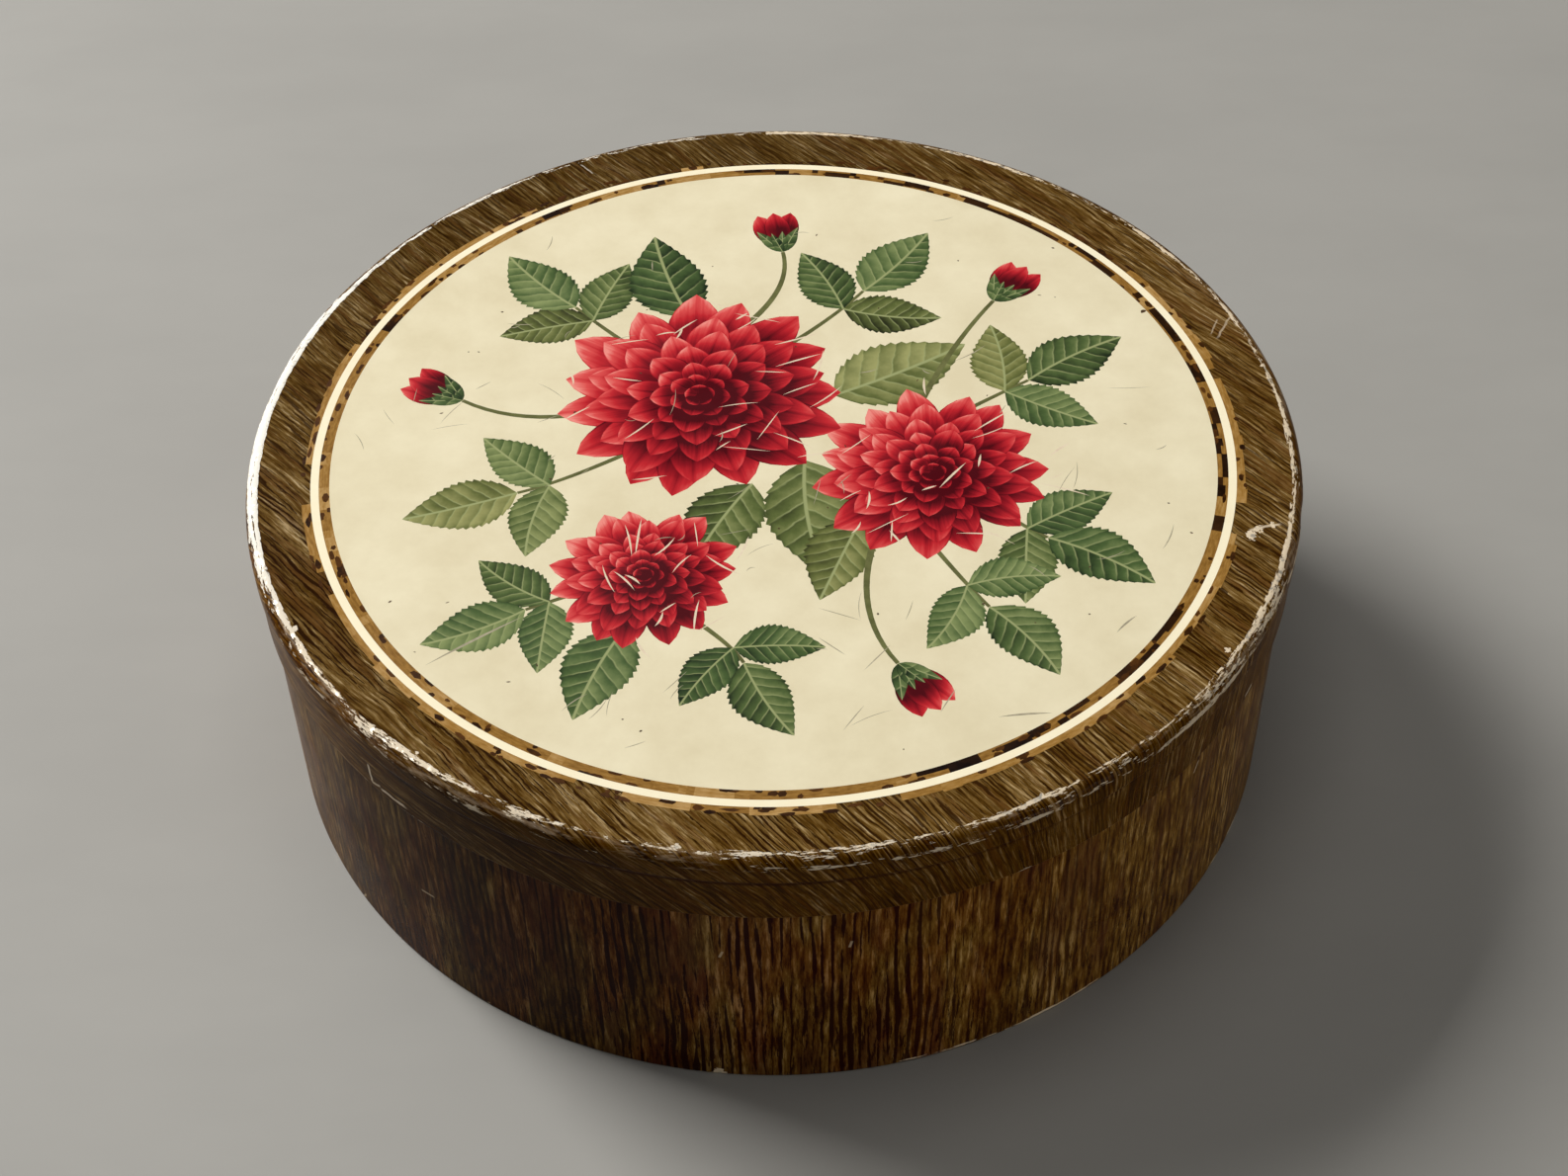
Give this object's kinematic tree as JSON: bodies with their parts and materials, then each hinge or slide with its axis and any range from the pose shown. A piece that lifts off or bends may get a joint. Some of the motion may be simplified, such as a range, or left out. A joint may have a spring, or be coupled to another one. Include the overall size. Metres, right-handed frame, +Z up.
{
  "type": "round lidded metal box",
  "caption": "Round printed aluminium box with a lift-off lid, a rolled wall with a locked side seam and a clinched bottom disc, for keeping biscuits or small things.",
  "frame": {"origin": "centre of the base, on the surface that the box stands on", "axes": "+Z up along the axis of the box, out through the lid; +X to the right and -Y towards the viewer of the picture, so the side seam at +Y is at the back"},
  "size_m": [0.2, 0.2, 0.0654],
  "materials": {
    "lid_print": "gloss",
    "wall_print": "gloss",
    "lacquered_sheet": "satin"
  },
  "bodies": {
    "box": {"body_wall": "wall_print", "bottom_disc": "lacquered_sheet"},
    "lid": {"lid": "lid_print"}
  },
  "joints": [
    {"name": "lid_lift", "type": "slide", "parent": "box", "child": "lid", "axis": [0, 0, 1], "range_m": [0, 0.1]}
  ]
}
